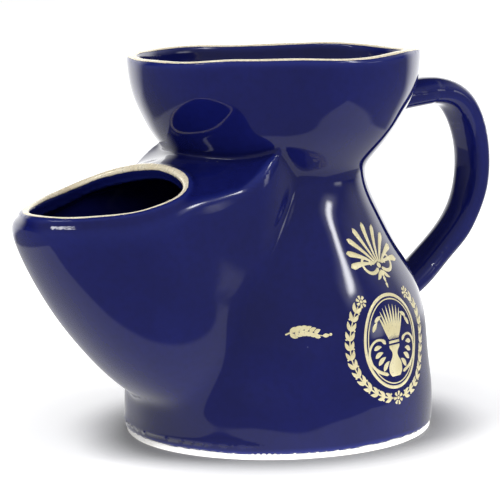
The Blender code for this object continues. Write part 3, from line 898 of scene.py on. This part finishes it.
def direction(turn, rise):
    """Unit vector at a turn from -Y towards +X and a rise above level, in degrees."""
    turn, rise = math.radians(turn), math.radians(rise)
    return Vector((math.sin(turn) * math.cos(rise), -math.cos(turn) * math.cos(rise), math.sin(rise)))


def add_camera():
    """Tripod in front of the spout's near side, a little above the rim, looking down."""
    height = CAMERA_HEIGHT + STAND * MM
    aim, dip, tilt = [math.radians(angle) for angle in CAMERA_ANGLES]
    data = bpy.data.cameras.new("camera")
    data.sensor_width = 36.0
    data.lens = CAMERA_LENS
    made = bpy.data.objects.new("camera", data)
    bpy.context.scene.collection.objects.link(made)
    place = Matrix.Translation(CAMERA_DISTANCE * Vector(TOWARDS) + Vector((0, 0, height)))
    made.matrix_world = (place @ Matrix.Rotation(HEADING + aim, 4, "Z")
                         @ Matrix.Rotation(math.pi / 2 - dip, 4, "X") @ Matrix.Rotation(tilt, 4, "Z"))
    bpy.context.scene.camera = made


def along(tree, place, axis):
    return add_node(tree, "VectorMath", {0: place, 1: axis}, operation="DOT_PRODUCT").outputs["Value"]


def smooth_step(tree, value, low, high):
    return add_node(tree, "MapRange", {"Value": value, "From Min": low, "From Max": high},
                    interpolation_type="SMOOTHSTEP").outputs[0]


def add_floor():
    """White table: diffuse with a little glow, with a painted contact shadow by the mug in both its
    colour and its glow, and seen in the glaze only as far as its edges.
    """
    bpy.ops.mesh.primitive_plane_add(size=6.0, location=(0, 0, 0))
    floor = bpy.context.object
    floor.name = "floor"
    made = bpy.data.materials.new("table")
    made.use_nodes = True
    tree = made.node_tree
    shader = tree.nodes["Principled BSDF"]
    # painted contact shadow: the table's base colour goes from pale to dark grey where the mug's
    # occlusion is high
    near_mug = add_node(tree, "AmbientOcclusion", {"Distance": SHADE_REACH}, samples=8).outputs["AO"]
    clear_of_painted_shadow = spread(tree, near_mug, 0.5, 0.95, 0.0, 1.0)
    tree.links.new(blended(tree, clear_of_painted_shadow, (0.24, 0.24, 0.25, 1), (0.86, 0.86, 0.87, 1)),
                   shader.inputs["Base Color"])
    shader.inputs["Roughness"].default_value = 0.9
    shader.inputs["Specular IOR Level"].default_value = 0.0
    shader.inputs["Emission Color"].default_value = (1, 1, 1, 1)
    place = add_node(tree, "TexCoord", {}).outputs["Object"]
    out = add_node(tree, "VectorMath", {0: place}, operation="LENGTH").outputs["Value"]
    # glow rises away from the mug and is cut to nothing by the foot, a painted contact shadow
    glow = maths(tree, "MULTIPLY", spread(tree, out, 0.05, 0.18, GLOW_NEAR, GLOW_FAR),
                 smooth_step(tree, out, *PAINTED_SHADOW_SPAN))
    nearer = along(tree, place, TOWARDS)
    side = along(tree, place, ACROSS)
    diffuse = add_node(tree, "LightPath", {}).outputs["Is Diffuse Ray"]
    bounce = maths(tree, "MULTIPLY", smooth_step(tree, out, *BOUNCE_OUT),
                   smooth_step(tree, side, *BOUNCE_LEFT))
    bounce = maths(tree, "MULTIPLY", maths(tree, "MULTIPLY", bounce, diffuse), BOUNCE)
    tree.links.new(maths(tree, "ADD", glow, bounce), shader.inputs["Emission Strength"])
    edge = maths(tree, "MULTIPLY", smooth_step(tree, side, *TABLE_RIGHT),
                 smooth_step(tree, side, *TABLE_LEFT))
    front = smooth_step(tree, nearer, TABLE_FRONT + 0.003, TABLE_FRONT - 0.003)
    lit = spread(tree, maths(tree, "MULTIPLY", front, edge), 0.0, 1.0, ROOM_NEAR, TABLE_SHEEN)
    away = smooth_step(tree, maths(tree, "DIVIDE", nearer, out), *BACK_SPREAD)
    back = maths(tree, "MULTIPLY", away, spread(tree, nearer, -0.08, -0.30, 0.0, ROOM_PALE))
    mirror = add_node(tree, "Emission", {"Strength": maths(tree, "MAXIMUM", lit, back)}).outputs[0]
    glossy = add_node(tree, "LightPath", {}).outputs["Is Glossy Ray"]
    both = add_node(tree, "MixShader", {0: glossy, 1: shader.outputs[0], 2: mirror}).outputs[0]
    tree.links.new(both, tree.nodes["Material Output"].inputs["Surface"])
    floor.data.materials.append(made)


def add_light(name, turn, rise, distance, size, power):
    """Softbox at a turn and rise from the mug, facing it; the glaze shows the world's panels."""
    data = bpy.data.lights.new(name, "AREA")
    data.shape = "RECTANGLE"
    data.size, data.size_y = size
    data.energy = power
    made = bpy.data.objects.new(name, data)
    bpy.context.scene.collection.objects.link(made)
    facing = direction(turn, rise)
    made.location = facing * distance + Vector((0, 0, 0.06))
    made.rotation_euler = facing.to_track_quat("Z", "Y").to_euler()
    made.visible_camera = False
    made.visible_glossy = False


def soft_panel(tree, view, turn, rise, half_size, edge, strength, roll=0.0):
    """Glow of a panel with soft edges, its half-sizes as sines of the angles they span."""
    facing = direction(turn, rise)
    level = Vector((0, 0, 1)).cross(facing).normalized()
    roll = math.radians(roll)
    right = math.cos(roll) * level - math.sin(roll) * facing.cross(level)
    up = facing.cross(right)
    glow = smooth_step(tree, along(tree, view, facing), 0.0, 0.2)
    for axis, half in zip((right, up), half_size):
        off = maths(tree, "ABSOLUTE", along(tree, view, axis))
        glow = maths(tree, "MULTIPLY", glow, smooth_step(tree, off, half + edge, half - edge))
    return maths(tree, "MULTIPLY", glow, strength)


def add_world():
    """White behind the mug, even light all round, and in the glaze a dark room with soft panels."""
    world = bpy.data.worlds.new("studio")
    bpy.context.scene.world = world
    world.use_nodes = True
    tree = world.node_tree
    view = add_node(tree, "TexCoord", {}).outputs["Generated"]
    away = smooth_step(tree, along(tree, view, TOWARDS), *BACK_SPREAD)
    high = smooth_step(tree, along(tree, view, (0, 0, 1)), 0.55, 0.30)
    room = spread(tree, maths(tree, "MULTIPLY", away, high), 0.0, 1.0, ROOM_DARK, ROOM_PALE)
    near = smooth_step(tree, along(tree, view, TOWARDS), -0.35, 0.25)
    room = maths(tree, "ADD", room, maths(tree, "MULTIPLY", near, ROOM_NEAR))
    for panel in PANELS:
        room = maths(tree, "ADD", room, soft_panel(tree, view, *panel))
    rays = add_node(tree, "LightPath", {})
    seen = spread(tree, rays.outputs["Is Camera Ray"], 0.0, 1.0, AMBIENT, 1.0)
    glossy = rays.outputs["Is Glossy Ray"]
    plain = maths(tree, "MULTIPLY", seen, maths(tree, "SUBTRACT", 1.0, glossy))
    total = maths(tree, "ADD", plain, maths(tree, "MULTIPLY", room, glossy))
    tree.links.new(total, tree.nodes["Background"].inputs["Strength"])
    tree.nodes["Background"].inputs["Color"].default_value = (1, 1, 1, 1)


bpy.context.scene.view_settings.view_transform = "Standard"
add_camera()
add_world()
add_floor()
add_light("right_strip", 40, 33, 0.9, (0.15, 0.55), 1.9)
add_light("left_box", -100, 50, 0.9, (0.28, 0.28), 2.3)
add_light("fill", -40, 40, 1.2, (0.9, 0.9), 4.6)

MATERIALS = {"cobalt_glaze": cobalt_glaze(), "bright_gold": bright_gold(),
             "gilt_transfer": gilt_transfer(), "bare_clay": bare_clay()}
PIECES = [
    (glazed_skin(), "cobalt_glaze", ("lower_body", "soap_bowl", "brush_spout", "handle")),
    (bare_foot(), "bare_clay", ("foot_ring",)),
    (bowl_rim_gold(), "bright_gold", ("bowl_rim_gilding",)),
    (spout_lip_gold(), "bright_gold", ("spout_lip_gilding",)),
    (gilt("laurel_wreath", wreath(), EMBLEM_TURN, EMBLEM_HEIGHT), "gilt_transfer",
     ("transfer_wreath",)),
    (gilt("brush_cartouche", cartouche(), EMBLEM_TURN, EMBLEM_HEIGHT), "gilt_transfer",
     ("transfer_medallion",)),
    (gilt("palmette_crest", palmette(), CREST_TURN, CREST_HEIGHT), "gilt_transfer",
     ("transfer_crest",)),
    (gilt("leaf_sprig", sprig(), SPRIG_TURN, SPRIG_HEIGHT), "gilt_transfer",
     ("transfer_sprig",)),
]
for piece, slot, nodes in PIECES:
    piece.data.materials.append(MATERIALS[slot])
    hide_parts(*nodes)
    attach(piece, "root")
